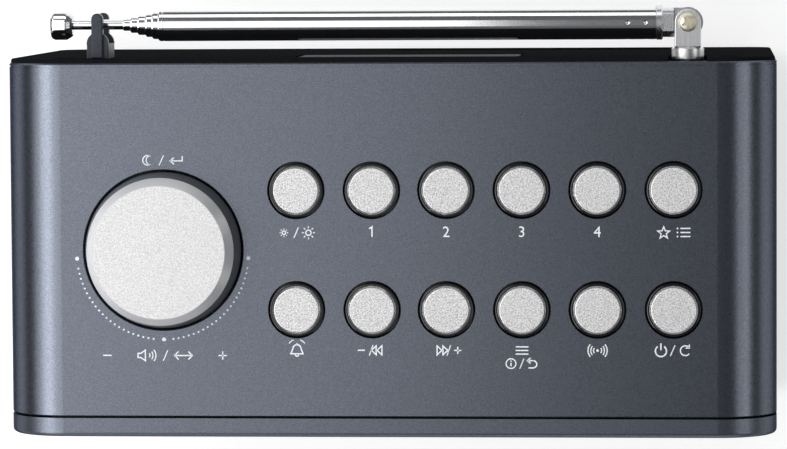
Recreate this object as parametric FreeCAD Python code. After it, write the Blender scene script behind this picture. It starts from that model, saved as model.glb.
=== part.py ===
import FreeCAD, Part
import os
import math
from FreeCAD import Vector as V

# Mains clock radio with a telescopic antenna, controls on its top face.
# Millimetres.  +X to the right, +Y to the rear, +Z up; z = 0 is the surface
# that the rubber feet stand on.  Shapes are drawn with y = 0 at the middle of
# the control panel and moved by Y_SHIFT on writing, so that the origin is the
# middle of the bottom of the whole object's box.

# ---------------------------------------------------------------- dimensions
WIDTH = 182.4            # cabinet, X
CX = -1.3                # middle of the cabinet, from the middle of the antenna
HEIGHT = 95.0            # cabinet, Z
CORNER_R = 14.0          # upper cabinet corners seen from the front
FOOT_R = 6.0             # lower cabinet corners
WALL = 2.5               # sleeve wall
FOOT_H = 2.0             # rubber feet
FRONT_Y = -44.25         # front plane of the bezel
BEZEL_BACK = -39.8
SLEEVE_FRONT = -39.5     # 0.3 mm seam to the bezel
SLEEVE_REAR = 44.0
COVER_IN = 42.0          # inner face of the rear cover
COVER_REAR = 45.0        # rear face of the rear cover

KNOB_X, KNOB_Y = -54.3, 0.0
KNOB_HOLE_R = 18.8
KNOB_BASE_R = 18.4       # side wall at the panel
KNOB_TOP_R = 17.45       # side wall under the cap
CAP_R = 17.35            # silver cap, outer edge of its bevel
CAP_FACE_R = 15.5        # flat face of the cap
KNOB_RISE = 9.0          # face above the panel

BUTTON_X = (-22.8, -5.0, 12.5, 30.2, 47.9, 65.7)
BUTTON_Y = (14.05, -14.05)
BUTTON_HOLE_R = 6.6
SKIRT_R = 6.3
BCAP_R = 5.72
BCAP_BEVEL = 0.5
BCAP_RISE = 1.4          # face above the panel
SKIRT_RISE = 0.55

ANT_X = 69.0             # antenna pivot
ANT_Y = 52.9             # antenna axis behind the panel's middle
ANT_Z = 84.0             # antenna axis height
CLIP_X = -70.5
TUBE_R = (4.0, 3.5, 3.0, 2.5, 2.0, 1.5, 1.2)       # outer radii, tube 1 to rod
TUBE_END = (-56.4, -57.9, -59.5, -61.4, -63.2, -65.0)
TUBE_FIT = 0.05          # radial running clearance between sections
RING_R = 4.1             # ring between the main tube and the hinge block

Z0 = FOOT_H
Z1 = FOOT_H + HEIGHT
ZC = (Z0 + Z1) / 2.0
PANEL_IN = Z1 - WALL     # underside of the control panel
BOARD_TOP = 84.0         # control board, component side
Y_MAX = ANT_Y + RING_R
Y_SHIFT = -(FRONT_Y + Y_MAX) / 2.0

BUTTON_NAMES = (("dimmer", "preset_1", "preset_2", "preset_3", "preset_4", "presets"),
                ("alarm", "tune_down", "tune_up", "menu", "scan", "power"))

os.makedirs("parts", exist_ok=True)


# ------------------------------------------------------------------- helpers
def save(name, shape):
    s = shape.copy()
    s.translate(V(-CX, Y_SHIFT, 0))
    s.exportStep("parts/%s.step" % name)
    b = s.BoundBox
    print("%-24s solids %3d  vol %10.1f  valid %s  x %.2f %.2f  y %.2f %.2f  z %.2f %.2f" % (
        name, len(s.Solids), s.Volume, s.isValid(), b.XMin, b.XMax, b.YMin, b.YMax, b.ZMin, b.ZMax))


def box(x0, x1, y0, y1, z0, z1):
    return Part.makeBox(x1 - x0, y1 - y0, z1 - z0, V(x0, y0, z0))


def cyl_x(x0, x1, y, z, r):
    return Part.makeCylinder(r, x1 - x0, V(x0, y, z), V(1, 0, 0))


def cyl_y(y0, y1, x, z, r):
    return Part.makeCylinder(r, y1 - y0, V(x, y0, z), V(0, 1, 0))


def cyl_z(z0, z1, x, y, r):
    return Part.makeCylinder(r, z1 - z0, V(x, y, z0), V(0, 0, 1))


def rounded(cx, cz, w, h, r, y0, y1, rb=None):
    """Rounded rectangle in the XZ plane, drawn out along Y.  rb is the radius
    of its two lower corners where that differs."""
    x0, x1, z0, z1 = cx - w / 2.0, cx + w / 2.0, cz - h / 2.0, cz + h / 2.0
    q = r if rb is None else rb
    s = r * math.sqrt(0.5)
    t = q * math.sqrt(0.5)
    pts = [(x0 + q, z0), (x1 - q, z0), (x1 - q + t, z0 + q - t), (x1, z0 + q), (x1, z1 - r),
           (x1 - r + s, z1 - r + s), (x1 - r, z1), (x0 + r, z1), (x0 + r - s, z1 - r + s),
           (x0, z1 - r), (x0, z0 + q), (x0 + q - t, z0 + q - t)]
    p = [V(a, y0, b) for a, b in pts]
    edges = []
    for k in range(4):
        i = 3 * k
        edges.append(Part.LineSegment(p[i], p[i + 1]).toShape())
        edges.append(Part.Arc(p[i + 1], p[i + 2], p[(i + 3) % 12]).toShape())
    return Part.Face(Part.Wire(edges)).extrude(V(0, y1 - y0, 0))


def rounded_z(cx, cy, w, h, r, z0, z1):
    """Rounded rectangle in the XY plane, drawn up along Z."""
    s = rounded(cx, 0, w, h, r, 0, z1 - z0)
    s.rotate(V(cx, 0, 0), V(1, 0, 0), 90)
    s.translate(V(0, cy, z0))
    return s


def edges_at_y(shape, y):
    out = []
    for e in shape.Edges:
        b = e.BoundBox
        if abs(b.YMin - y) < 1e-5 and abs(b.YMax - y) < 1e-5:
            out.append(e)
    return out


def edges_at_z(shape, z):
    out = []
    for e in shape.Edges:
        b = e.BoundBox
        if abs(b.ZMin - z) < 1e-5 and abs(b.ZMax - z) < 1e-5:
            out.append(e)
    return out


def turned(profile, origin, along, out):
    """Solid of revolution.  profile: (distance along the axis, radius) pairs,
    closed on itself; along and out are unit vectors."""
    pts = [origin + along * a + out * r for a, r in profile]
    pts.append(pts[0])
    face = Part.Face(Part.makePolygon(pts))
    s = face.revolve(origin, along, 360)
    if s.Volume < 0:
        s.reverse()
    return s


def turned_z(x, y, profile):
    return turned(profile, V(x, y, 0), V(0, 0, 1), V(1, 0, 0))


def turned_x(profile, y=ANT_Y, z=ANT_Z):
    return turned(profile, V(0, y, z), V(1, 0, 0), V(0, 1, 0))


def turned_y(x, z, profile):
    return turned(profile, V(x, 0, z), V(0, 1, 0), V(1, 0, 0))


def fuse(shapes):
    s = shapes[0]
    if len(shapes) > 1:
        s = s.fuse(shapes[1:])
    return s.removeSplitter()


def group(shapes):
    return Part.makeCompound(shapes)


# ------------------------------------------------------------ cabinet sleeve
outer = rounded(CX, ZC, WIDTH, HEIGHT, CORNER_R, SLEEVE_FRONT, SLEEVE_REAR, FOOT_R)
outer = outer.makeChamfer(0.35, edges_at_y(outer, SLEEVE_REAR) + edges_at_y(outer, SLEEVE_FRONT))
inner = rounded(CX, ZC, WIDTH - 2 * WALL, HEIGHT - 2 * WALL, CORNER_R - WALL,
                SLEEVE_FRONT - 1, SLEEVE_REAR + 1, FOOT_R - WALL)
sleeve = outer.cut(inner)
# fine line rolled round the sleeve just in front of the rear cover
groove = rounded(CX, ZC, WIDTH + 4, HEIGHT + 4, CORNER_R + 2, 43.0, 43.3, FOOT_R + 2).cut(
    rounded(CX, ZC, WIDTH - 0.6, HEIGHT - 0.6, CORNER_R - 0.3, 42.9, 43.4, FOOT_R - 0.3))
sleeve = sleeve.cut(groove)

adds = []
COVER_SCREWS = [(x, z) for x in (-78.1, 79.0) for z in (88.3, 10.7)]
for sx, z in COVER_SCREWS:
    a, b = (sx - 3.2, 89.0) if sx > CX else (-91.5, sx + 3.2)
    c, d = (84.9, 95.6) if z > ZC else (3.4, 14.1)
    blk = box(a, b, 30.0, COVER_IN, c, d).common(
        rounded(CX, ZC, WIDTH - 2, HEIGHT - 2, CORNER_R - 1, 29, 43, FOOT_R - 1))
    adds.append(blk)
# pillars for the main board on the floor, and for the control board overhead
MAIN_SCREWS = [(-6.0, -24.0), (72.0, -24.0), (-6.0, 36.0), (72.0, 36.0)]
CTRL_SCREWS = [(-76.0, 0.0), (-31.5, 0.0), (3.5, 0.0), (39.0, 0.0), (76.0, 0.0)]
MAIN_Z = 9.0
for x, y in MAIN_SCREWS:
    adds.append(cyl_z(Z0 + 0.6, MAIN_Z, x, y, 3.0))
for x, y in CTRL_SCREWS:
    adds.append(cyl_z(BOARD_TOP, Z1 - 0.6, x, y, 2.6))
sleeve = sleeve.fuse(adds).removeSplitter()

cuts = [cyl_z(90, Z1 + 3, KNOB_X, KNOB_Y, KNOB_HOLE_R),
        Part.makeCone(KNOB_HOLE_R, KNOB_HOLE_R + 0.4, 0.4, V(KNOB_X, KNOB_Y, Z1 - 0.3))]
for by in BUTTON_Y:
    for bx in BUTTON_X:
        cuts.append(cyl_z(90, Z1 + 3, bx, by, BUTTON_HOLE_R))
        cuts.append(Part.makeCone(BUTTON_HOLE_R, BUTTON_HOLE_R + 0.3, 0.3, V(bx, by, Z1 - 0.2)))
for sx, z in COVER_SCREWS:
    cuts.append(cyl_y(31.5, 43.0, sx, z, 1.35))
for x, y in MAIN_SCREWS:
    cuts.append(cyl_z(Z0 + 1.6, MAIN_Z + 1, x, y, 1.15))
for x, y in CTRL_SCREWS:
    cuts.append(cyl_z(BOARD_TOP - 1, BOARD_TOP + 7, x, y, 1.15))
for c in cuts:
    sleeve = sleeve.cut(c)
save("cabinet_sleeve", sleeve)

# -------------------------------------------------------------- front bezel
SPK_X, SPK_Z = CX - 49.0, ZC
DSP_X, DSP_Z = CX + 37.5, ZC
bez = rounded(CX, ZC, WIDTH, HEIGHT, CORNER_R, FRONT_Y, BEZEL_BACK, FOOT_R)
bez = bez.makeFillet(1.1, edges_at_y(bez, FRONT_Y))
spig = rounded(CX, ZC, WIDTH - 5.6, HEIGHT - 5.6, 11.2, BEZEL_BACK, -35.0, 3.2).cut(
    rounded(CX, ZC, WIDTH - 9.6, HEIGHT - 9.6, 9.2, BEZEL_BACK - 1, -34.0, 1.2))
bez = bez.fuse([spig]).removeSplitter()
bez = bez.cut(rounded(SPK_X, SPK_Z, 66, 66, 8, FRONT_Y - 1, -42.2))
bez = bez.cut(rounded(SPK_X, SPK_Z, 61, 61, 6, FRONT_Y - 1, BEZEL_BACK + 1))
bez = bez.cut(rounded(DSP_X, DSP_Z, 92, 66, 8, FRONT_Y - 1, -42.0))
bez = bez.cut(rounded(DSP_X, DSP_Z, 83, 47, 2, FRONT_Y - 1, BEZEL_BACK + 1))
SPK_SCREWS = [(SPK_X + a * 33.0, SPK_Z + b * 33.0) for a in (-1, 1) for b in (-1, 1)]
for x, z in SPK_SCREWS:
    bez = bez.cut(cyl_y(-42.0, BEZEL_BACK + 1, x, z, 1.15))
save("front_bezel", bez)

# ----------------------------------------------- speaker grille and display
grille = rounded(SPK_X, SPK_Z, 65.6, 65.6, 7.8, -43.3, -42.2)
grille = grille.makeFillet(0.35, edges_at_y(grille, -43.3))
holes = []
pitch = 3.4
for i in range(-8, 9):
    for j in range(-9, 10):
        x = i * pitch
        z = j * pitch * math.sqrt(0.75)
        if j % 2:
            x += pitch / 2.0
        if x * x + z * z < 27.3 ** 2:
            holes.append(cyl_y(-44, -42, SPK_X + x, SPK_Z + z, 0.95))
grille = grille.cut(Part.makeCompound(holes))
save("speaker_grille", grille)

lens = rounded(DSP_X, DSP_Z, 91.6, 65.6, 7.8, -43.5, -42.0)
lens = lens.makeFillet(0.4, edges_at_y(lens, -43.5))
save("display_lens", lens)

lcd = rounded(DSP_X, DSP_Z, 81.0, 45.0, 1.0, -41.7, BEZEL_BACK)
lcd_pcb = box(DSP_X - 45, DSP_X + 45, BEZEL_BACK, -38.2, DSP_Z - 27, DSP_Z + 27)
lcd_plug = box(DSP_X - 12, DSP_X + 12, -38.2, -34.2, DSP_Z - 25, DSP_Z - 20)
save("display_module", group([fuse([lcd, lcd_pcb]), lcd_plug]))

# -------------------------------------------------------------- loudspeaker
flange = rounded(SPK_X, SPK_Z, 71.0, 71.0, 8.0, BEZEL_BACK, -38.8).cut(
    cyl_y(-41, -38, SPK_X, SPK_Z, 28.5))
basket = turned_y(SPK_X, SPK_Z, [(-38.8, 28.5), (-38.8, 29.5), (-27.0, 19.5), (-26.0, 19.5),
                                 (-26.0, 9.0), (-27.0, 9.0), (-27.0, 18.6), (-37.9, 27.8),
                                 ])
frame_s = flange.fuse([basket]).removeSplitter()
for k in range(4):
    w = box(-6.5, 6.5, -36.2, -27.8, 12, 40)
    w.rotate(V(0, 0, 0), V(0, 1, 0), 45 + 90 * k)
    w.translate(V(SPK_X, 0, SPK_Z))
    frame_s = frame_s.cut(w)
for x, z in SPK_SCREWS:
    frame_s = frame_s.cut(cyl_y(-41, -38, x, z, 1.45))
save("speaker_frame", frame_s)

# paper cone with a half-roll surround and dust cap, one thin shell
prof = [(-39.6, 28.3), (-39.6, 27.2)]
roll = [(-39.6 - 1.6 * math.sin(math.pi * k / 8.0), 27.2 - 4.0 * k / 8.0) for k in range(1, 9)]
front_face = prof + roll + [(-31.0, 8.0)]
dome = [(-31.0 - 2.6 * math.sin(math.pi / 2 * k / 6.0), 8.0 * math.cos(math.pi / 2 * k / 6.0)) for k in range(1, 7)]
dome[-1] = (dome[-1][0], 0.0)
back = [(dome[-1][0] + 0.6, 0.0)] + [(a + 0.6, r) for a, r in reversed(dome[:-1])] + [(-30.2, 8.2)] + \
       [(a + 0.6, r) for a, r in reversed(roll)] + [(-39.0, 27.2), (-39.0, 28.3)]
save("speaker_cone", turned_y(SPK_X, SPK_Z, front_face + dome + back))

mag = turned_y(SPK_X, SPK_Z, [(-26.0, 0), (-26.0, 16.5), (-24.6, 16.5), (-24.6, 18.5), (-17.6, 18.5),
                              (-17.6, 16.5), (-16.0, 16.5), (-16.0, 0)])
save("speaker_magnet", mag)

sscr = []
for x, z in SPK_SCREWS:
    s = turned_y(x, z, [(-41.8, 0), (-41.8, 1.05), (-38.8, 1.05), (-38.8, 2.3), (-38.0, 2.2),
                        (-37.5, 1.4), (-37.3, 0)])
    s = s.cut(box(x - 0.25, x + 0.25, -38.0, -37, z - 1.2, z + 1.2))
    s = s.cut(box(x - 1.2, x + 1.2, -38.0, -37, z - 0.25, z + 0.25))
    sscr.append(s)
save("speaker_screws", group(sscr))

# --------------------------------------------------------------- rear cover
lip = rounded(CX, ZC, WIDTH - 0.8, HEIGHT - 0.8, CORNER_R - 0.4, SLEEVE_REAR, COVER_REAR, FOOT_R - 0.4)
lip = lip.makeFillet(0.6, edges_at_y(lip, COVER_REAR))
plug = rounded(CX, ZC, WIDTH - 5.4, HEIGHT - 5.4, 11.3, COVER_IN, SLEEVE_REAR, 3.3)
cover = lip.fuse([plug]).removeSplitter()
# the lip is cut away round the antenna's foot
cover = cover.cut(cyl_y(SLEEVE_REAR, COVER_REAR + 1, ANT_X, ANT_Z, 4.5))
cover = cover.cut(box(ANT_X - 4.5, ANT_X + 4.5, SLEEVE_REAR, COVER_REAR + 1, ANT_Z, Z1 + 1))
cover = cover.cut(cyl_y(COVER_IN - 1, SLEEVE_REAR + 1, ANT_X, ANT_Z, 3.5))
# shallow recess that the sockets sit in
JACK_Z = 17.2
DC_X, HP_X = 17.0, 43.0
cover = cover.cut(rounded(29.0, 17.2, 70.0, 15.4, 4.0, COVER_REAR - 0.6, COVER_REAR + 1))
cover = cover.cut(cyl_y(COVER_IN - 1, COVER_REAR + 1, DC_X, JACK_Z, 4.0))
cover = cover.cut(cyl_y(COVER_IN - 1, COVER_REAR + 1, HP_X, JACK_Z, 3.2))
for x, z in COVER_SCREWS:
    cover = cover.cut(cyl_y(COVER_IN - 1, COVER_REAR + 1, x, z, 1.7))
    cover = cover.cut(cyl_y(43.4, COVER_REAR + 1, x, z, 3.1))
# shallow recess for the rating label
cover = cover.cut(rounded(2.5, 72.0, 54.0, 24.0, 1.5, COVER_REAR - 0.25, COVER_REAR + 1))
save("rear_cover", cover)

rscr = []
for x, z in COVER_SCREWS:
    s = turned_y(x, z, [(33.0, 0), (34.2, 1.25), (43.4, 1.25), (43.4, 2.75), (44.1, 2.65),
                        (44.6, 2.0), (44.85, 1.0), (44.9, 0)])
    s = s.cut(box(x - 0.35, x + 0.35, 44.1, 45.5, z - 1.5, z + 1.5))
    s = s.cut(box(x - 1.5, x + 1.5, 44.1, 45.5, z - 0.35, z + 0.35))
    rscr.append(s)
save("rear_cover_screws", group(rscr))

# ------------------------------------------------------ boards and sockets
main = rounded_z(31.0, 6.0, 88.0, 70.0, 2.0, MAIN_Z, MAIN_Z + 1.6)
for x, y in MAIN_SCREWS:
    main = main.cut(cyl_z(MAIN_Z - 1, MAIN_Z + 3, x, y, 1.5))
T = MAIN_Z + 1.6
can = rounded_z(58.0, -6.0, 24.0, 30.0, 1.0, T, T + 4.2)
chip = box(22, 34, -12, 0, T, T + 1.4)
chip2 = box(4, 12, -20, -14, T, T + 1.4)
chip3 = box(38, 43, 12, 17, T, T + 1.4)
caps_e = [fuse([cyl_z(T, T + 11.0, x, y, r), cyl_z(T, T + 0.8, x, y, r + 0.35)])
          for x, y, r in ((2.0, 26.0, 4.0), (2.0, 14.0, 4.0), (30.0, 22.0, 3.2), (13.0, 6.0, 2.6))]
coil = rounded_z(60.0, 27.0, 9.0, 9.0, 1.5, T, T + 6.0)
save("main_board", group([main, can, chip, chip2, chip3, coil] + caps_e))

ctrl = rounded_z(0, 0, 162.0, 50.0, 3.0, BOARD_TOP - 1.6, BOARD_TOP)
for x, y in CTRL_SCREWS:
    ctrl = ctrl.cut(cyl_z(BOARD_TOP - 3, BOARD_TOP + 1, x, y, 1.4))
save("control_board", group([ctrl, box(-6, 10, -24, -19, BOARD_TOP - 5.6, BOARD_TOP - 1.6)]))

bscr = []
for x, y in MAIN_SCREWS:
    s = turned_z(x, y, [(T - 6.0, 0), (T - 6.0, 1.05), (T, 1.05), (T, 2.4), (T + 0.7, 2.3),
                        (T + 1.2, 1.5), (T + 1.4, 0)])
    s = s.cut(box(x - 0.3, x + 0.3, y - 1.3, y + 1.3, T + 0.6, T + 2))
    bscr.append(s)
B = BOARD_TOP - 1.6
for x, y in CTRL_SCREWS:
    s = turned_z(x, y, [(B + 6.0, 0), (B + 6.0, 1.05), (B, 1.05), (B, 2.3), (B - 0.7, 2.2),
                        (B - 1.2, 1.4), (B - 1.4, 0)])
    s = s.cut(box(x - 0.3, x + 0.3, y - 1.3, y + 1.3, B - 2, B - 0.6))
    bscr.append(s)
save("board_screws", group(bscr))

# push switches: square bodies, each with a bore for its plunger
sw = []
for by in BUTTON_Y:
    for bx in BUTTON_X:
        s = box(bx - 3.0, bx + 3.0, by - 3.0, by + 3.0, BOARD_TOP, BOARD_TOP + 3.5)
        s = s.makeChamfer(0.4, edges_at_z(s, BOARD_TOP + 3.5))
        sw.append(s.cut(cyl_z(BOARD_TOP + 0.8, BOARD_TOP + 5, bx, by, 1.85)))
save("tact_switches", group(sw))

# DC inlet: moulded block, round nose, 5.5 mm socket with a 2.1 mm centre pin
dc = fuse([box(DC_X - 4.5, DC_X + 4.5, 29.0, COVER_IN - 0.1, T, JACK_Z + 4.6),
           cyl_y(COVER_IN - 1, COVER_REAR - 0.6, DC_X, JACK_Z, 3.85)])
dc = dc.cut(cyl_y(33.0, COVER_REAR, DC_X, JACK_Z, 2.8))
dc = dc.fuse([cyl_y(32.0, 43.6, DC_X, JACK_Z, 1.05)]).removeSplitter()
save("dc_jack", dc)

# 3.5 mm headphone socket
hp = fuse([box(HP_X - 5.0, HP_X + 5.0, 27.0, COVER_IN - 0.1, T, JACK_Z + 4.0),
           cyl_y(COVER_IN - 1, COVER_REAR - 0.6, HP_X, JACK_Z, 3.05)])
hp = hp.cut(cyl_y(29.4, COVER_REAR, HP_X, JACK_Z, 1.8))
save("headphone_jack", hp)

# -------------------------------------------------------------- rubber feet
feet = []
for x in (CX - 73.0, CX + 73.0):
    for y in (-31.0, 35.0):
        f = cyl_z(0, Z0, x, y, 6.0)
        feet.append(f.makeFillet(0.5, edges_at_z(f, 0)))
save("rubber_feet", group(feet))

# -------------------------------------------------------------- rotary knob
enc = rounded_z(KNOB_X, KNOB_Y, 12.4, 13.2, 0.6, BOARD_TOP, 90.5)
bush = cyl_z(90.5, 95.0, KNOB_X, KNOB_Y, 3.9)
bush = bush.makeChamfer(0.4, edges_at_z(bush, 95.0))
enc = fuse([enc, bush]).cut(cyl_z(86.0, 96, KNOB_X, KNOB_Y, 3.06))
save("encoder_body", enc)

plate = cyl_z(87.2, 88.5, KNOB_X, KNOB_Y, 2.95)
save("encoder_push_plate", plate)

shaft = cyl_z(88.5, 102.2, KNOB_X, KNOB_Y, 3.0)
shaft = shaft.makeChamfer(0.4, edges_at_z(shaft, 102.2))
flat = box(KNOB_X + 2.0, KNOB_X + 5, KNOB_Y - 5, KNOB_Y + 5, 96.0, 104.0)
shaft = shaft.cut(flat)
save("encoder_shaft", shaft)

ZT = Z1 + KNOB_RISE                     # face of the cap
kb = turned_z(KNOB_X, KNOB_Y, [(95.4, KNOB_BASE_R - 0.2), (95.6, KNOB_BASE_R), (97.6, KNOB_BASE_R - 0.05),
                               (ZT - 3.4, KNOB_TOP_R), (ZT - 3.4, 0), (ZT - 5.4, 0), (ZT - 5.4, 15.6), (95.4, 16.4)])
hub = cyl_z(96.0, ZT - 3.4, KNOB_X, KNOB_Y, 5.2)
kb = fuse([kb, hub])
bore = cyl_z(95.0, 102.3, KNOB_X, KNOB_Y, 3.03)
bore = bore.cut(box(KNOB_X + 2.0, KNOB_X + 5, KNOB_Y - 5, KNOB_Y + 5, 94.0, 105.0))
kb = kb.cut(bore)
save("volume_knob", kb)

kc = turned_z(KNOB_X, KNOB_Y, [(ZT - 3.35, 0), (ZT - 3.35, CAP_R - 0.1), (ZT - 3.2, CAP_R), (ZT - 2.95, CAP_R),
                               (ZT - 0.12, CAP_FACE_R + 0.1), (ZT, CAP_FACE_R - 0.05), (ZT, 0)])
save("knob_cap", kc)

# ------------------------------------------------------------- push buttons
for j, by in enumerate(BUTTON_Y):
    for i, bx in enumerate(BUTTON_X):
        name = BUTTON_NAMES[j][i]
        zt = Z1 + BCAP_RISE
        cap = turned_z(bx, by, [(94.8, 0), (94.8, BCAP_R), (zt - BCAP_BEVEL - 0.1, BCAP_R),
                                (zt - BCAP_BEVEL, BCAP_R - 0.04), (zt - 0.06, BCAP_R - BCAP_BEVEL),
                                (zt, BCAP_R - BCAP_BEVEL - 0.12), (zt, 0)])
        save("button_cap_" + name, cap)
        zs = Z1 + SKIRT_RISE
        skirt = turned_z(bx, by, [(85.9, 0), (85.9, 1.75), (91.6, 1.75), (91.6, 4.6), (92.6, 7.3),
                                  (93.6, 7.3), (93.6, SKIRT_R), (zs - 0.3, SKIRT_R), (zs - 0.08, SKIRT_R - 0.1),
                                  (zs, SKIRT_R - 0.28), (zs, BCAP_R + 0.05), (94.8, BCAP_R + 0.05),
                                  (94.8, 0)])
        save("button_skirt_" + name, skirt)

# ---------------------------------------------------------- antenna, stowed
# U-shaped rest on the rear cover that the stowed antenna lies in
web = box(CLIP_X - 2.6, CLIP_X + 2.6, COVER_REAR, 48.5, ANT_Z - 5.2, ANT_Z + 5.2)
web = web.makeFillet(0.3, [e for e in web.Edges if e.BoundBox.YLength > 3])
lobes = []
for s in (1, -1):
    a, b = sorted((s * 4.25, s * 5.2))
    c, d = sorted((s * 4.25, s * 6.3))
    nose = cyl_z(ANT_Z + a, ANT_Z + b, CLIP_X, 48.5, 2.6).common(
        box(CLIP_X - 2.6, CLIP_X + 2.6, 48.0, 51.1, ANT_Z - 7, ANT_Z + 7))
    rib = fuse([box(CLIP_X - 1.35, CLIP_X + 1.35, COVER_REAR, 54.3, ANT_Z + c, ANT_Z + d),
                cyl_z(ANT_Z + c, ANT_Z + d, CLIP_X, 54.3, 1.35)])
    rib = rib.makeFillet(0.35, edges_at_z(rib, ANT_Z + s * 6.3))
    lobes += [nose, rib]
clip = fuse([web] + lobes)
save("antenna_clip", clip)

# fixed bushing behind the cover, and the swivelling fork that turns in it
base = turned_y(ANT_X, ANT_Z, [(40.0, 2.55), (40.0, 6.2), (COVER_IN, 6.2), (COVER_IN, 3.45),
                               (43.95, 3.45), (43.95, 2.55)])
save("antenna_base", base)

fork = turned_y(ANT_X, ANT_Z, [(36.6, 0), (36.6, 2.2), (36.9, 2.5), (37.2, 2.5), (37.2, 4.3), (39.9, 4.3),
                               (39.9, 2.5), (44.1, 2.5), (44.1, 3.6), (44.3, 3.8), (46.7, 3.8),
                               (47.1, 3.45), (47.1, 0)])
cheek = fuse([box(ANT_X - 3.1, ANT_X + 3.1, 47.1, ANT_Y, ANT_Z - 3.1, ANT_Z + 3.1),
              cyl_z(ANT_Z - 3.1, ANT_Z + 3.1, ANT_X, ANT_Y, 3.1)])
cheek = cheek.makeFillet(0.25, edges_at_z(cheek, ANT_Z + 3.1) + edges_at_z(cheek, ANT_Z - 3.1))
fork = fuse([fork, cheek])
fork = fork.cut(box(ANT_X - 5, ANT_X + 5, 48.9, ANT_Y + 6, ANT_Z - 1.35, ANT_Z + 1.35))
fork = fork.cut(cyl_z(ANT_Z - 5, ANT_Z + 5, ANT_X, ANT_Y, 1.45))
save("antenna_fork", fork)

zh = ANT_Z + 3.1
hs = turned_z(ANT_X, ANT_Y, [(ANT_Z - 3.9, 0), (ANT_Z - 3.9, 1.7), (ANT_Z - 3.6, 2.0), (ANT_Z - 3.1, 2.0),
                             (ANT_Z - 3.1, 1.4), (zh, 1.4), (zh, 2.25), (zh + 0.45, 2.15),
                             (zh + 0.8, 1.7), (zh + 0.98, 1.0), (zh + 1.02, 0)])
cross = fuse([box(-0.32, 0.32, -1.45, 1.45, zh + 0.35, zh + 2), box(-1.45, 1.45, -0.32, 0.32, zh + 0.35, zh + 2)])
cross.rotate(V(0, 0, 0), V(0, 0, 1), 28)
cross.translate(V(ANT_X, ANT_Y, 0))
hs = hs.cut(cross)
save("antenna_hinge_screw", hs)

blk = turned_x([(52.8, 0), (52.8, TUBE_R[0] - 0.5), (61.5, TUBE_R[0] - 0.5), (61.5, RING_R - 0.25), (61.75, RING_R),
                (62.85, RING_R), (63.1, RING_R - 0.3), (63.1, 3.7), (65.7, 3.7), (65.7, 0)])
blk = blk.cut(box(63.1, 66, ANT_Y - 5, ANT_Y - 3.45, ANT_Z - 5, ANT_Z + 5))
blk = blk.cut(box(63.1, 66, ANT_Y + 3.45, ANT_Y + 5, ANT_Z - 5, ANT_Z + 5))
blk = blk.cut(box(63.1, 66, ANT_Y - 5, ANT_Y + 5, ANT_Z + 3.1, ANT_Z + 5))
blk = blk.cut(box(63.1, 66, ANT_Y - 5, ANT_Y + 5, ANT_Z - 5, ANT_Z - 3.1))
tongue = fuse([box(65.0, ANT_X, ANT_Y - 3.45, ANT_Y + 3.45, ANT_Z - 1.3, ANT_Z + 1.3),
               cyl_z(ANT_Z - 1.3, ANT_Z + 1.3, ANT_X, ANT_Y, 3.6)])
blk = fuse([blk, tongue])
blk = blk.cut(cyl_z(ANT_Z - 5, ANT_Z + 5, ANT_X, ANT_Y, 1.45))
save("antenna_hinge_block", blk)

# six tubes, each running in the one before it, with rolled ends
inner_end = [61.5, 51.8, 51.2, 50.6, 50.0, 49.4]
for k in range(6):
    r = TUBE_R[k]
    ri = TUBE_R[k + 1] + TUBE_FIT
    x0, x1 = TUBE_END[k], inner_end[k]
    prof_t = [(x0, ri), (x0, r - 0.22), (x0 + 0.1, r - 0.1), (x0 + 0.35, r), (x0 + 0.95, r),
              (x0 + 1.05, r - 0.07), (x0 + 1.2, r - 0.07), (x0 + 1.3, r), (x1, r), (x1, ri)]
    if k > 0:
        # inner sections show only their rolled end, so the line is left off
        prof_t = [(x0, ri), (x0, r - 0.18), (x0 + 0.12, r - 0.06), (x0 + 0.35, r), (x1, r), (x1, ri)]
    tube = turned_x(prof_t)
    if k == 0:
        for xd in (54.9, 59.1):
            for dy, dz in ((0, 1), (0, -1), (1, 0), (-1, 0)):
                s = Part.makeSphere(0.75, V(xd, ANT_Y + dy * (r + 0.42), ANT_Z + dz * (r + 0.42)))
                tube = tube.cut(s)
    save("antenna_tube_%d" % (k + 1), tube)

rod = turned_x([(-77.4, 0), (-77.4, TUBE_R[6]), (48.6, TUBE_R[6]), (48.8, TUBE_R[6] - 0.2), (48.8, 0)])
save("antenna_rod", rod)

tip = turned_x([(-82.5, 0), (-82.5, 2.2), (-82.35, 2.75), (-82.05, 3.2), (-81.6, 3.5), (-81.3, 3.6), (-78.6, 3.6),
                (-78.35, 3.5), (-77.5, 3.0), (-77.0, 2.6), (-77.0, TUBE_R[6]), (-77.4, TUBE_R[6]), (-77.4, 0)])
save("antenna_tip", tip)
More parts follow.
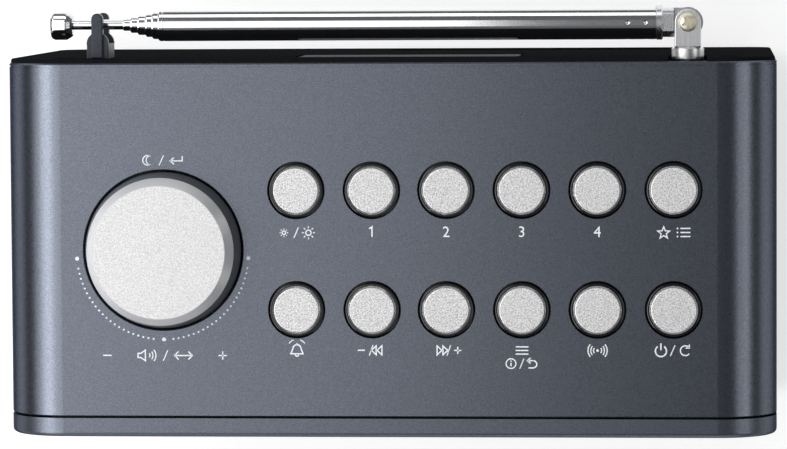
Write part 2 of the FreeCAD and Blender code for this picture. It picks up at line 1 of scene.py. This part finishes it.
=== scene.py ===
import bpy
import bmesh
import math
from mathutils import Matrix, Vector


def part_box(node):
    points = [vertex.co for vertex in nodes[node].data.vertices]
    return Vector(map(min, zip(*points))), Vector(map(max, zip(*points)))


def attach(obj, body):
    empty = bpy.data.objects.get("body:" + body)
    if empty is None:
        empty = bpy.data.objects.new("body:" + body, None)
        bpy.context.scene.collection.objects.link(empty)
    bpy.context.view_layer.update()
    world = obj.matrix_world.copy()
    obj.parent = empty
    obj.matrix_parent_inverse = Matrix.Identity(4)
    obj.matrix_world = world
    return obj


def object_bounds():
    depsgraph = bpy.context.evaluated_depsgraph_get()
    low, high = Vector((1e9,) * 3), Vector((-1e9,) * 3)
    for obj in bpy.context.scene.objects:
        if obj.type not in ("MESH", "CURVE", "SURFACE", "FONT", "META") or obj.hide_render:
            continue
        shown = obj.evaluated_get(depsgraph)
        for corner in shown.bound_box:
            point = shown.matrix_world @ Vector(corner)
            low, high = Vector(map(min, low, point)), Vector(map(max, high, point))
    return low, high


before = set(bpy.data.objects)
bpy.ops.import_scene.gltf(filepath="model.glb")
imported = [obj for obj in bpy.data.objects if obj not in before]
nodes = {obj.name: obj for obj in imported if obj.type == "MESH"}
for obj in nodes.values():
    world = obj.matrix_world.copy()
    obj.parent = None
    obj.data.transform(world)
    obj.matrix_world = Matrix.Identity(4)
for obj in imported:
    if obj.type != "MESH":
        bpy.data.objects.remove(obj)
cad_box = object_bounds()


def plain(b):
    return [[float(v) for v in p] for p in b]


cad_box = plain(cad_box)

# ------------------------------------------------------------------ materials


class Mat:
    """A Principled material with a few helpers for its procedural nodes."""

    def __init__(self, name, **sockets):
        self.m = bpy.data.materials.new(name)
        self.m.use_nodes = True
        self.t = self.m.node_tree
        self.n = self.t.nodes
        self.b = self.n["Principled BSDF"]
        for k, v in sockets.items():
            key = k.replace("_", " ")
            for s in self.b.inputs:
                if s.name.lower() == key.lower():
                    s.default_value = v
        self.coord = self.n.new("ShaderNodeTexCoord")

    def link(self, a, b):
        self.t.links.new(a, b)

    def mapping(self, scale=(1, 1, 1), rot=(0, 0, 0)):
        m = self.n.new("ShaderNodeMapping")
        m.inputs["Scale"].default_value = scale
        m.inputs["Rotation"].default_value = rot
        self.link(self.coord.outputs["Object"], m.inputs["Vector"])
        return m.outputs["Vector"]

    def noise(self, scale, detail=2.0, rough=0.5, vec=None, distortion=0.0):
        n = self.n.new("ShaderNodeTexNoise")
        n.inputs["Scale"].default_value = scale
        n.inputs["Detail"].default_value = detail
        n.inputs["Roughness"].default_value = rough
        n.inputs["Distortion"].default_value = distortion
        self.link(vec if vec is not None else self.coord.outputs["Object"], n.inputs["Vector"])
        return n.outputs["Fac"]

    def voronoi(self, scale, vec=None, feature="F1", out="Distance"):
        n = self.n.new("ShaderNodeTexVoronoi")
        n.feature = feature
        n.inputs["Scale"].default_value = scale
        self.link(vec if vec is not None else self.coord.outputs["Object"], n.inputs["Vector"])
        return n.outputs[out]

    def ramp(self, fac, stops):
        r = self.n.new("ShaderNodeValToRGB")
        while len(r.color_ramp.elements) < len(stops):
            r.color_ramp.elements.new(0.5)
        for e, (p, c) in zip(r.color_ramp.elements, stops):
            e.position = p
            e.color = c if len(c) == 4 else (*c, 1.0)
        self.link(fac, r.inputs["Fac"])
        return r.outputs["Color"]

    def rng(self, fac, lo, hi, a=0.0, b=1.0):
        r = self.n.new("ShaderNodeMapRange")
        r.inputs["From Min"].default_value = a
        r.inputs["From Max"].default_value = b
        r.inputs["To Min"].default_value = lo
        r.inputs["To Max"].default_value = hi
        self.link(fac, r.inputs["Value"])
        return r.outputs["Result"]

    def mix(self, fac, a, b, mode="MIX"):
        m = self.n.new("ShaderNodeMix")
        m.data_type = "RGBA"
        m.blend_type = mode
        for s, v in ((m.inputs["Factor"], fac), (m.inputs[6], a), (m.inputs[7], b)):
            if hasattr(v, "node"):
                self.link(v, s)
            elif s.type == "RGBA":
                s.default_value = (*v, 1.0) if len(v) == 3 else v
            else:
                s.default_value = v
        return m.outputs[2]

    def math(self, op, a, b=0.5):
        m = self.n.new("ShaderNodeMath")
        m.operation = op
        for s, v in ((m.inputs[0], a), (m.inputs[1], b)):
            if hasattr(v, "node"):
                self.link(v, s)
            else:
                s.default_value = v
        return m.outputs[0]

    def color(self, out):
        self.link(out, self.b.inputs["Base Color"])

    def rough(self, out):
        self.link(out, self.b.inputs["Roughness"])

    def bump(self, height, dist, strength=0.5):
        b = self.n.new("ShaderNodeBump")
        b.inputs["Strength"].default_value = strength
        b.inputs["Distance"].default_value = dist
        self.link(height, b.inputs["Height"])
        self.link(b.outputs["Normal"], self.b.inputs["Normal"])


def scaled(c, k):
    return tuple(v * k for v in c)


# satin metallic paint: fine flake and a slow drift in tone; the coat layer takes the weight passed in, which is zero
# for the shell and bezel
SHELL = (0.1230, 0.1350, 0.1620)


def metallic_paint(name, base, rough, coat):
    m = Mat(name, Metallic=1.0, Roughness=rough, IOR=1.5, Specular_Tint=(0.22, 0.22, 0.22, 1.0),
            Coat_Weight=coat, Coat_Roughness=0.14, Coat_IOR=1.5)
    flake = m.noise(3600, 1.0, 0.6)
    drift = m.noise(14, 3.0)
    col = m.ramp(flake, [(0.30, scaled(base, 0.76)), (0.50, base), (0.72, scaled(base, 1.30))])
    col = m.mix(m.rng(drift, 0.0, 0.14, 0.3, 0.7), col, scaled(base, 0.86))
    m.color(col)
    m.rough(m.rng(m.noise(900, 2.0), rough - 0.03, rough + 0.03))
    m.bump(m.noise(2600, 2.0), 0.00002, 0.30)
    return m


shell = metallic_paint("shell_metallic", SHELL, 0.28, 0.0)
bezel = metallic_paint("bezel_paint", scaled(SHELL, 1.0), 0.36, 0.0)
wall = Mat("knob_wall_paint", Metallic=0.25, Roughness=0.42, IOR=1.5)
wn = wall.noise(2600, 2.0)
wall.color(wall.mix(wn, (0.085, 0.093, 0.105), (0.130, 0.140, 0.155)))
wall.rough(wall.rng(wn, 0.36, 0.48))
fitting = Mat("satin_dark_fitting", Metallic=0.0, Roughness=0.28, IOR=1.5, Specular_IOR_Level=0.25)
fn = fitting.noise(1400, 2.0)
fitting.color(fitting.mix(fn, (0.016, 0.020, 0.028), (0.040, 0.048, 0.064)))
fitting.rough(fitting.rng(fn, 0.22, 0.36))

# anodised caps: the flat faces are blasted, the steep bevels turned bright
SILVER = (0.60, 0.595, 0.60)


def silver_paint(name, dull, low, high):
    m = Mat(name, Metallic=0.20, Roughness=0.45, IOR=1.5)
    split = m.n.new("ShaderNodeSeparateXYZ")
    m.link(m.coord.outputs["Normal"], split.inputs[0])
    steep = m.rng(split.outputs["Z"], 1.0, 0.0, 0.80, 0.97)
    fine = m.noise(3200, 1.0, 0.7)
    col = m.ramp(fine, [(0.30, scaled(SILVER, low)), (0.5, SILVER), (0.70, scaled(SILVER, high))])
    m.color(m.mix(steep, col, (0.80, 0.80, 0.81)))
    m.link(m.rng(steep, 0.20, dull), m.b.inputs["Metallic"])
    grain = m.rng(m.noise(1500, 2.0), 0.38, 0.47)
    m.rough(m.math("SUBTRACT", grain, m.math("MULTIPLY", steep, 0.17 if dull == 1.0 else 0.04)))
    m.bump(m.noise(2400, 2.0), 0.00003, 0.30)
    return m


silver = silver_paint("silver_cap", 1.0, 0.48, 1.42)
knob_silver = silver_paint("knob_cap_silver", 0.60, 0.76, 1.25)

# black rear moulding, finely textured so that it stays dark at a glance
rear = Mat("rear_moulding", Metallic=0.0, Roughness=0.50, IOR=1.45, Specular_IOR_Level=0.0,
           Coat_Weight=0.006, Coat_Roughness=0.12, Coat_IOR=1.5)
rn = rear.noise(1500, 3.0)
rear.color(rear.mix(rn, (0.0055, 0.0059, 0.0068), (0.0095, 0.0100, 0.0114)))
rear.rough(rear.rng(rear.noise(500, 2.0), 0.44, 0.56))
rear.bump(rear.voronoi(1900), 0.00003, 0.25)

skirt = Mat("skirt_black", Metallic=0.0, Roughness=0.14, IOR=1.5, Specular_IOR_Level=0.35)
col = skirt.mix(skirt.rng(skirt.noise(400, 2.0), 0.0, 0.5), (0.008, 0.008, 0.009), (0.014, 0.014, 0.015))
skirt.color(col)
skirt.rough(skirt.rng(skirt.noise(900, 2.0), 0.10, 0.16))

# moulded matt black
matt = Mat("matt_black", Metallic=0.0, Roughness=0.55, IOR=1.48)
col = matt.mix(matt.noise(900, 2.0), (0.018, 0.018, 0.020), (0.030, 0.030, 0.032))
matt.color(col)
matt.rough(matt.rng(matt.noise(500, 2.0), 0.48, 0.62))
matt.bump(matt.voronoi(1800), 0.00004, 0.35)

# smoked window over the display
lens = Mat("smoked_window", Metallic=0.0, Roughness=0.05, IOR=1.49, Coat_Weight=0.5, Coat_Roughness=0.02)
col = lens.mix(lens.rng(lens.noise(25, 2.0), 0.0, 0.5), (0.006, 0.007, 0.008), (0.010, 0.011, 0.013))
lens.color(col)
lens.rough(lens.rng(lens.noise(120, 2.0), 0.04, 0.08))

# polished chrome plate, drawn along the tube
chrome = Mat("antenna_chrome", Metallic=1.0, Roughness=0.09, IOR=2.5)
streak = chrome.noise(1.0, 3.0, 0.6, vec=chrome.mapping((40, 2600, 2600)))
col = chrome.mix(chrome.rng(streak, 0.0, 0.35), (0.83, 0.835, 0.84), (0.66, 0.67, 0.68))
chrome.color(col)
chrome.rough(chrome.rng(streak, 0.06, 0.15))
chrome.bump(streak, 0.000004, 0.12)

# machined zinc and nickel pieces: fork and hinge block
milled = Mat("milled_nickel", Metallic=1.0, Roughness=0.24, IOR=2.5)
mm = milled.noise(1.0, 3.0, 0.6, vec=milled.mapping((5200, 240, 700)))
col = milled.mix(milled.rng(mm, 0.0, 0.6, 0.3, 0.7), (0.78, 0.785, 0.79), (0.50, 0.51, 0.52))
milled.color(col)
milled.rough(milled.rng(mm, 0.18, 0.36))
milled.bump(mm, 0.00002, 0.35)

brass = Mat("hinge_brass", Metallic=0.8, Roughness=0.36, IOR=2.0)
bn = brass.noise(900, 3.0)
col = brass.mix(bn, (0.90, 0.85, 0.70), (0.72, 0.65, 0.48))
brass.color(col)
brass.rough(brass.rng(bn, 0.30, 0.44))
brass.bump(bn, 0.00002, 0.3)

fork_m = Mat("satin_nickel", Metallic=1.0, Roughness=0.33, IOR=2.5)
kn = fork_m.noise(1.0, 3.0, 0.6, vec=fork_m.mapping((2600, 90, 400)))
fork_m.color(fork_m.mix(fork_m.rng(kn, 0.0, 0.8, 0.3, 0.7), (0.88, 0.88, 0.885), (0.60, 0.60, 0.61)))
fork_m.rough(fork_m.rng(kn, 0.26, 0.42))
fork_m.bump(kn, 0.00001, 0.3)

steel = Mat("plated_steel", Metallic=1.0, Roughness=0.30, IOR=2.5)
sn = steel.noise(700, 3.0)
col = steel.mix(sn, (0.62, 0.62, 0.63), (0.48, 0.48, 0.50))
steel.color(col)
steel.rough(steel.rng(sn, 0.24, 0.40))

dark_screw = Mat("blackened_screw", Metallic=0.85, Roughness=0.35, IOR=1.8)
sn = dark_screw.noise(900, 3.0)
col = dark_screw.mix(sn, (0.11, 0.11, 0.115), (0.19, 0.19, 0.20))
dark_screw.color(col)
dark_screw.rough(dark_screw.rng(sn, 0.28, 0.42))

board = Mat("circuit_board", Metallic=0.0, Roughness=0.35, IOR=1.5, Coat_Weight=0.3, Coat_Roughness=0.15)
br = board.n.new("ShaderNodeTexBrick")
br.inputs["Scale"].default_value = 260
br.inputs["Color1"].default_value = (0.012, 0.115, 0.040, 1)
br.inputs["Color2"].default_value = (0.016, 0.140, 0.050, 1)
br.inputs["Mortar"].default_value = (0.050, 0.230, 0.090, 1)
br.inputs["Mortar Size"].default_value = 0.03
board.link(board.coord.outputs["Object"], br.inputs["Vector"])
board.color(br.outputs["Color"])
board.rough(board.rng(board.noise(400, 2.0), 0.28, 0.42))

paper = Mat("cone_paper", Metallic=0.0, Roughness=0.85)
pn = paper.noise(1600, 3.0)
paper.color(paper.mix(pn, (0.016, 0.016, 0.017), (0.040, 0.040, 0.042)))
paper.rough(paper.rng(pn, 0.78, 0.92))
paper.bump(pn, 0.00008, 0.5)

rubber = Mat("foot_rubber", Metallic=0.0, Roughness=0.75)
rn = rubber.noise(1300, 3.0)
rubber.color(rubber.mix(rn, (0.016, 0.016, 0.017), (0.030, 0.030, 0.031)))
rubber.rough(rubber.rng(rn, 0.68, 0.85))
rubber.bump(rn, 0.00006, 0.5)

ink = Mat("panel_ink", Metallic=0.0, Roughness=0.5)
kn = ink.noise(5200, 2.0)
ink.color(ink.ramp(kn, [(0.30, (0.58, 0.60, 0.64)), (0.55, (0.80, 0.82, 0.86)), (0.8, (0.86, 0.88, 0.90))]))
ink.rough(ink.rng(kn, 0.42, 0.60))

sticker = Mat("label_film", Metallic=0.0, Roughness=0.55, IOR=1.45, Specular_IOR_Level=0.0)
ln = sticker.noise(700, 2.0)
sticker.color(sticker.mix(ln, (0.105, 0.110, 0.116), (0.140, 0.145, 0.152)))
sticker.rough(sticker.rng(ln, 0.36, 0.48))

LOOK = {
    "cabinet_sleeve": shell, "front_bezel": bezel, "volume_knob": wall, "antenna_clip": fitting,
    "knob_cap": knob_silver, "speaker_grille": matt, "display_lens": lens, "display_module": matt,
    "rear_cover": rear, "speaker_frame": steel, "speaker_cone": paper, "speaker_magnet": steel,
    "speaker_screws": steel, "rear_cover_screws": dark_screw, "board_screws": steel,
    "main_board": board, "control_board": board, "tact_switches": matt, "encoder_body": steel,
    "encoder_push_plate": matt, "encoder_shaft": steel, "dc_jack": matt, "headphone_jack": matt,
    "rubber_feet": rubber, "antenna_base": steel, "antenna_fork": fork_m, "antenna_hinge_screw": brass,
    "antenna_hinge_block": milled, "antenna_rod": chrome, "antenna_tip": chrome,
}
for name, obj in nodes.items():
    if name in LOOK:
        look = LOOK[name]
    elif name.startswith("button_cap_"):
        look = silver
    elif name.startswith("button_skirt_"):
        look = skirt
    elif name.startswith("antenna_tube_"):
        look = chrome
    else:
        look = matt
    if len(obj.material_slots) == 0:
        obj.data.materials.append(look.m)
    for s in obj.material_slots:
        s.material = look.m

# ------------------------------------------------------------- printed panel
ROOT = "cabinet"
Z_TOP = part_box("cabinet_sleeve")[1][2]
INK = 0.00002


class Print:
    """Flat shapes in the panel's plane, in millimetres, each a thin closed slab."""

    def __init__(self):
        self.bm = bmesh.new()

    def slab(self, pts):
        n = len(pts)
        area = sum(pts[i][0] * pts[(i + 1) % n][1] - pts[(i + 1) % n][0] * pts[i][1] for i in range(n))
        if area < 0:
            pts = list(reversed(pts))
        lo = [self.bm.verts.new((x / 1000, y / 1000, Z_TOP)) for x, y in pts]
        hi = [self.bm.verts.new((x / 1000, y / 1000, Z_TOP + INK)) for x, y in pts]
        self.bm.faces.new(hi)
        self.bm.faces.new(list(reversed(lo)))
        for i in range(n):
            j = (i + 1) % n
            self.bm.faces.new((lo[i], lo[j], hi[j], hi[i]))

    def disc(self, x, y, r, n=28):
        self.slab([(x + r * math.cos(2 * math.pi * k / n), y + r * math.sin(2 * math.pi * k / n)) for k in range(n)])

    def line(self, pts, w, closed=False):
        """A stroke of constant width with mitred corners."""
        m = len(pts)
        left, right = [], []
        for i in range(m):
            p = Vector(pts[i])
            a = Vector(pts[i - 1]) if (i > 0 or closed) else None
            b = Vector(pts[(i + 1) % m]) if (i < m - 1 or closed) else None
            d1 = (p - a).normalized() if a is not None else (b - p).normalized()
            d2 = (b - p).normalized() if b is not None else d1
            n1 = Vector((-d1.y, d1.x))
            n2 = Vector((-d2.y, d2.x))
            t = (n1 + n2)
            t = t.normalized() if t.length > 1e-6 else n1
            k = (w / 2) / max(0.35, t.dot(n1))
            left.append(p + t * k)
            right.append(p - t * k)
        if closed:
            for i in range(m):
                j = (i + 1) % m
                self.slab([tuple(left[i]), tuple(left[j]), tuple(right[j]), tuple(right[i])])
        else:
            self.slab([tuple(v) for v in left] + [tuple(v) for v in reversed(right)])

    def arc(self, x, y, r, w, a0, a1, n=24):
        """A ring or part of one, from angle a0 to a1 in degrees."""
        full = abs(a1 - a0) >= 359.9
        pts = []
        steps = n if full else n + 1
        for k in range(steps):
            a = math.radians(a0 + (a1 - a0) * k / n)
            pts.append((x + r * math.cos(a), y + r * math.sin(a)))
        self.line(pts, w, closed=full)

    def make(self, name):
        me = bpy.data.meshes.new(name)
        self.bm.to_mesh(me)
        self.bm.free()
        ob = bpy.data.objects.new(name, me)
        bpy.context.scene.collection.objects.link(ob)
        me.materials.append(ink.m)
        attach(ob, ROOT)
        return ob


def centre(node):
    lo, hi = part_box(node)
    return (lo[0] + hi[0]) * 500.0, (lo[1] + hi[1]) * 500.0


KX, KY = centre("knob_cap")
W = 0.30                                # stroke of the pictograms

# dotted scale round the front half of the knob
dots = Print()
AX, AY, AR = KX - 0.15, KY - 0.75, 20.35
for a in (-176.5, -89.5, -3.2):
    dots.disc(AX + AR * math.cos(math.radians(a)), AY + AR * math.sin(math.radians(a)), 0.47)
for k in range(22):
    for s, a0 in ((1, -176.5 + 6.7), (-1, -3.2 - 6.7)):
        a = math.radians(a0 + s * k * 3.49)
        dots.disc(AX + AR * math.cos(a), AY + AR * math.sin(a), 0.235, 16)
dots.make("knob_scale_dots")

# pictograms over and under the knob
p = Print()
x, y = KX - 3.4, KY + 21.2              # crescent moon
def crescent(t):
    """Closed outline of a crescent moon, its stroke set in by t."""
    out, r0, r1, dx = [], 1.25 - t, 1.12 + t, 0.72
    for k in range(25):
        a = math.radians(62 + 236 * k / 24)
        out.append((r0 * math.cos(a) - 0.1, r0 * math.sin(a)))
    for k in range(1, 18):
        a = math.radians(258 - 156 * k / 18)
        out.append((dx - 0.1 + r1 * 0.86 * math.cos(a), r1 * 0.86 * math.sin(a)))
    return out


p.line([(x + a, y + b) for a, b in crescent(0.12)], W * 0.8, closed=True)
p.line([(x + 2.6, y - 1.2), (x + 3.7, y + 1.2)], W * 0.8)
x += 6.6                                 # return arrow
p.line([(x + 1.5, y + 1.0), (x + 1.5, y - 0.15), (x - 1.3, y - 0.15)], W)
p.line([(x - 0.45, y + 0.62), (x - 1.35, y - 0.15), (x - 0.45, y - 0.92)], W)
# loudness and scroll, between minus and plus
yb = KY - 24.9
p.line([(KX - 14.5, yb), (KX - 12.5, yb)], 0.30)
p.line([(KX + 12.9, yb), (KX + 14.9, yb)], 0.30)
p.line([(KX + 13.9, yb - 1.0), (KX + 13.9, yb + 1.0)], 0.30)
x = KX - 4.6
p.line([(x - 1.6, yb - 0.5), (x - 0.9, yb - 0.5), (x + 0.15, yb - 1.25), (x + 0.15, yb + 1.25),
        (x - 0.9, yb + 0.5), (x - 1.6, yb + 0.5)], W, closed=True)
for r in (0.75, 1.45, 2.15):
    p.arc(x + 0.5, yb, r, W * 0.9, -38, 38, 10)
p.line([(KX - 0.2, yb - 1.25), (KX + 0.9, yb + 1.25)], W * 0.8)
x = KX + 4.6
for s in (-1, 1):
    p.line([(x + s * 1.15 - s * 0.0, yb + 0.95), (x + s * 2.1, yb), (x + s * 1.15, yb - 0.95)], W)
p.line([(x - 2.0, yb), (x + 2.0, yb)], W)
p.make("knob_pictograms")

# pictograms under the buttons
UPPER = -9.95                            # below the button's centre
LOWER = -9.55
p = Print()
x, y = centre("button_cap_dimmer")      # small sun, slash, large sun
y += UPPER
for cx, r0, r1, r2 in ((x - 2.9, 0.42, 0.75, 1.0), (x + 2.9, 0.62, 1.05, 1.55)):
    p.arc(cx, y, r0, W * 0.9, 0, 360, 20)
    for k in range(8):
        a = math.radians(45 * k)
        p.line([(cx + r1 * math.cos(a), y + r1 * math.sin(a)), (cx + r2 * math.cos(a), y + r2 * math.sin(a))], W * 0.8)
p.line([(x - 0.55, y - 1.25), (x + 0.55, y + 1.25)], W * 0.8)

x, y = centre("button_cap_presets")     # star and list
y += UPPER
star = []
for k in range(10):
    r = 1.45 if k % 2 == 0 else 0.62
    a = math.radians(90 + 36 * k)
    star.append((x - 2.3 + r * math.cos(a), y - 0.1 + r * math.sin(a)))
p.line(star, W * 0.9, closed=True)
for dy in (-0.95, 0.0, 0.95):
    p.disc(x + 0.9, y + dy, 0.2, 12)
    p.line([(x + 1.6, y + dy), (x + 3.9, y + dy)], W)

x, y = centre("button_cap_alarm")       # bell
y += LOWER
bell = [(x - 1.45, y - 0.85)]
for k in range(13):
    a = math.radians(180 - 180 * k / 12)
    bell.append((x + 0.95 * math.cos(a), y + 0.35 + 0.95 * math.sin(a)))
bell.append((x + 1.45, y - 0.85))
p.line(bell, W, closed=True)
p.arc(x, y - 1.0, 0.42, W, 190, 350, 10)
p.disc(x, y + 1.5, 0.2, 12)
for s in (-1, 1):
    p.arc(x, y + 0.3, 2.25, W * 0.85, 90 - s * 38 - 17, 90 - s * 38 + 17, 8)

for node, s in (("button_cap_tune_down", -1), ("button_cap_tune_up", 1)):   # step arrows with a sign
    x, y = centre(node)
    y += LOWER
    for d in (-0.2, 1.15):
        cx = x - s * 1.5 + s * d
        p.line([(cx - s * 0.55, y + 1.05), (cx + s * 0.6, y), (cx - s * 0.55, y - 1.05)], W, closed=True)
    p.line([(x + 0.2 - s * 0.5 + s * 0.9 - 0.55, y - 1.25), (x + 0.2 - s * 0.5 + s * 0.9 + 0.35, y + 1.25)], W * 0.8)
    cx = x + s * 2.6
    p.line([(cx - 0.85, y), (cx + 0.85, y)], W)
    if s > 0:
        p.line([(cx, y - 0.85), (cx, y + 0.85)], W)

x, y = centre("button_cap_menu")        # menu lines; below them info and back
y += LOWER
for dy in (-0.85, 0.0, 0.85):
    p.line([(x - 1.5, y + dy), (x + 1.5, y + dy)], W)
yy = y - 3.1
p.arc(x - 2.6, yy, 1.15, W * 0.9, 0, 360, 24)
p.line([(x - 2.6, yy - 0.62), (x - 2.6, yy + 0.18)], W)
p.disc(x - 2.6, yy + 0.58, 0.18, 12)
p.line([(x - 0.55, yy - 1.2), (x + 0.45, yy + 1.2)], W * 0.8)
p.arc(x + 2.6, yy - 0.15, 0.85, W, -90, 90, 14)
p.line([(x + 2.6, yy - 1.0), (x + 1.5, yy - 1.0)], W)
p.line([(x + 2.7, yy + 0.7), (x + 1.3, yy + 0.7)], W)
p.line([(x + 2.0, yy + 1.35), (x + 1.25, yy + 0.7), (x + 2.0, yy + 0.05)], W)

x, y = centre("button_cap_scan")        # waves sent out both ways
y += LOWER
p.disc(x, y, 0.32, 16)
for r in (0.95, 1.6, 2.25):
    p.arc(x, y, r, W * 0.9, -40, 40, 10)
    p.arc(x, y, r, W * 0.9, 140, 220, 10)

x, y = centre("button_cap_power")       # standby sign and a loop
y += LOWER
p.arc(x - 3.0, y - 0.1, 1.30, 0.34, 125, 415, 28)
p.line([(x - 3.0, y + 0.1), (x - 3.0, y + 1.7)], 0.34)
p.line([(x - 0.8, y - 1.25), (x + 0.3, y + 1.25)], W * 0.8)
p.arc(x + 2.7, y, 1.15, W, 40, 320, 24)
p.line([(x + 3.62, y + 1.45), (x + 3.62, y + 0.62), (x + 2.78, y + 0.62)], W)
p.make("button_pictograms")

# digits 1 to 4 under the preset buttons
one = Print()
cx, cy = centre("button_cap_preset_1")
one.line([(cx - 0.62, cy - 9.75 + 0.72), (cx + 0.08, cy - 9.75 + 1.18), (cx + 0.08, cy - 9.75 - 1.22)], 0.32)
one.make("panel_digit_1")
for k in range(2, 5):
    cx, cy = centre("button_cap_preset_%d" % k)
    cu = bpy.data.curves.new("digit_%d" % k, "FONT")
    cu.body = str(k)
    cu.size = 0.0036
    cu.align_x = "CENTER"
    cu.align_y = "CENTER"
    cu.extrude = INK / 2
    cu.resolution_u = 6
    tmp = bpy.data.objects.new("tmp_digit", cu)
    bpy.context.scene.collection.objects.link(tmp)
    bpy.context.view_layer.update()
    me = bpy.data.meshes.new_from_object(tmp.evaluated_get(bpy.context.evaluated_depsgraph_get()))
    bpy.data.objects.remove(tmp)
    bpy.data.curves.remove(cu)
    xs = [v.co.x for v in me.vertices]
    ys = [v.co.y for v in me.vertices]
    mx, my = (min(xs) + max(xs)) / 2, (min(ys) + max(ys)) / 2
    for v in me.vertices:
        v.co = ((v.co.x - mx) * 1.0 + cx / 1000, v.co.y - my + (cy - 9.75) / 1000, v.co.z + Z_TOP + INK / 2)
    bm = bmesh.new()
    bm.from_mesh(me)
    bmesh.ops.remove_doubles(bm, verts=bm.verts, dist=1e-7)
    bm.to_mesh(me)
    bm.free()
    me.name = "panel_digit_%d" % k
    ob = bpy.data.objects.new("panel_digit_%d" % k, me)
    bpy.context.scene.collection.objects.link(ob)
    me.materials.clear()
    me.materials.append(ink.m)
    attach(ob, ROOT)

# --------------------------------------------------- blank label on the rear
lo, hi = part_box("rear_cover")
y_rear = hi[1]
bm = bmesh.new()
cx, cz = 0.0038, 0.0720
hw, hh, r = 0.0262, 0.0112, 0.0012
outline = []
for qx, qz, a0 in ((1, 1, 0), (-1, 1, 90), (-1, -1, 180), (1, -1, 270)):
    for k in range(7):
        a = math.radians(a0 + 15 * k)
        outline.append((cx + qx * (hw - r) + r * math.cos(a), cz + qz * (hh - r) + r * math.sin(a)))
y0, y1 = y_rear - 0.00025, y_rear - 0.00013
va = [bm.verts.new((a, y0, b)) for a, b in outline]
vb = [bm.verts.new((a, y1, b)) for a, b in outline]
bm.faces.new(va)
bm.faces.new(list(reversed(vb)))
for i in range(len(va)):
    j = (i + 1) % len(va)
    bm.faces.new((va[j], va[i], vb[i], vb[j]))
bmesh.ops.recalc_face_normals(bm, faces=bm.faces)
me = bpy.data.meshes.new("rating_label_blank")
bm.to_mesh(me)
bm.free()
label = bpy.data.objects.new("rating_label_blank", me)
bpy.context.scene.collection.objects.link(label)
me.materials.append(sticker.m)
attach(label, ROOT)

# ------------------------------------------------------------ floor and light
fm = Mat("studio_floor", Roughness=0.9, Emission_Color=(1, 1, 1, 1), Emission_Strength=0.58)
fm.color(fm.mix(fm.noise(3, 2.0), (0.56, 0.56, 0.56), (0.60, 0.60, 0.60)))
bm = bmesh.new()
bmesh.ops.create_grid(bm, x_segments=8, y_segments=8, size=4.0)
me = bpy.data.meshes.new("studio_floor")
bm.to_mesh(me)
bm.free()
floor = bpy.data.objects.new("studio_floor", me)
bpy.context.scene.collection.objects.link(floor)
me.materials.append(fm.m)


def area(name, loc, aim, sx, sy, power, color=(1, 1, 1)):
    li = bpy.data.lights.new(name, "AREA")
    li.shape = "RECTANGLE"
    li.size = sx
    li.size_y = sy
    li.energy = power
    li.color = color
    ob = bpy.data.objects.new(name, li)
    ob.location = loc
    ob.rotation_euler = (Vector(aim) - Vector(loc)).to_track_quat("-Z", "Y").to_euler()
    bpy.context.scene.collection.objects.link(ob)
    return ob


# panels round the radio, each aimed at it: zen is the angle from straight up,
# az 0 is the left, 90 the rear and 180 the right; wide runs level
AIM = (0.0, 0.0, 0.09)


def panel(name, zen, az, dist, wide, tall, power):
    z, a = math.radians(zen), math.radians(az)
    loc = (-dist * math.sin(z) * math.cos(a), dist * math.sin(z) * math.sin(a), AIM[2] + dist * math.cos(z))
    return area(name, loc, AIM, wide, tall, power)


panel("left_22", 22, 0, 0.55, 0.9, 0.09, 0.40)
panel("left_31", 31, 0, 0.55, 0.9, 0.09, 0.66)
panel("left_40", 40, 0, 0.55, 0.9, 0.09, 1.30)
panel("left_50", 50, 0, 0.55, 0.9, 0.10, 1.15)
panel("left_62", 62, 0, 0.55, 0.9, 0.12, 0.50)
panel("right_46", 46, 180, 1.0, 0.9, 0.12, 0.60)
panel("right_60", 60, 180, 1.0, 0.8, 0.26, 1.10)
panel("rear_62", 62, 90, 1.0, 1.3, 0.35, 2.60)
area("over_left", (-0.108, 0.03, 0.775), (-0.108, 0.031, 0.09), 0.19, 0.56, 0.45)
area("overhead", (0.05, 0.0, 1.75), (0.05, 0.001, 0.09), 1.4, 1.4, 0.30)
panel("front_70", 70, 270, 1.1, 1.2, 0.35, 2.4)

world = bpy.data.worlds.new("studio_world")
world.use_nodes = True
world.node_tree.nodes["Background"].inputs["Color"].default_value = (0.93, 0.95, 1.0, 1)
world.node_tree.nodes["Background"].inputs["Strength"].default_value = 0.13
bpy.context.scene.world = world
bpy.context.scene.view_settings.view_transform = "Standard"
bpy.context.scene.view_settings.look = "None"

# ------------------------------------------------------------------- camera
cam = bpy.data.cameras.new("camera")
cam.sensor_fit = "HORIZONTAL"
cam.sensor_width = 36.0
cam.lens = 4283.45 / 787.0 * 36.0
cam.clip_start = 0.05
cam.clip_end = 20.0
co = bpy.data.objects.new("camera", cam)
co.location = (0.0763803, 0.0656804, 1.0965435)
co.rotation_euler = (-0.06621374, 0.0744446, -0.00574459)
bpy.context.scene.collection.objects.link(co)
bpy.context.scene.camera = co
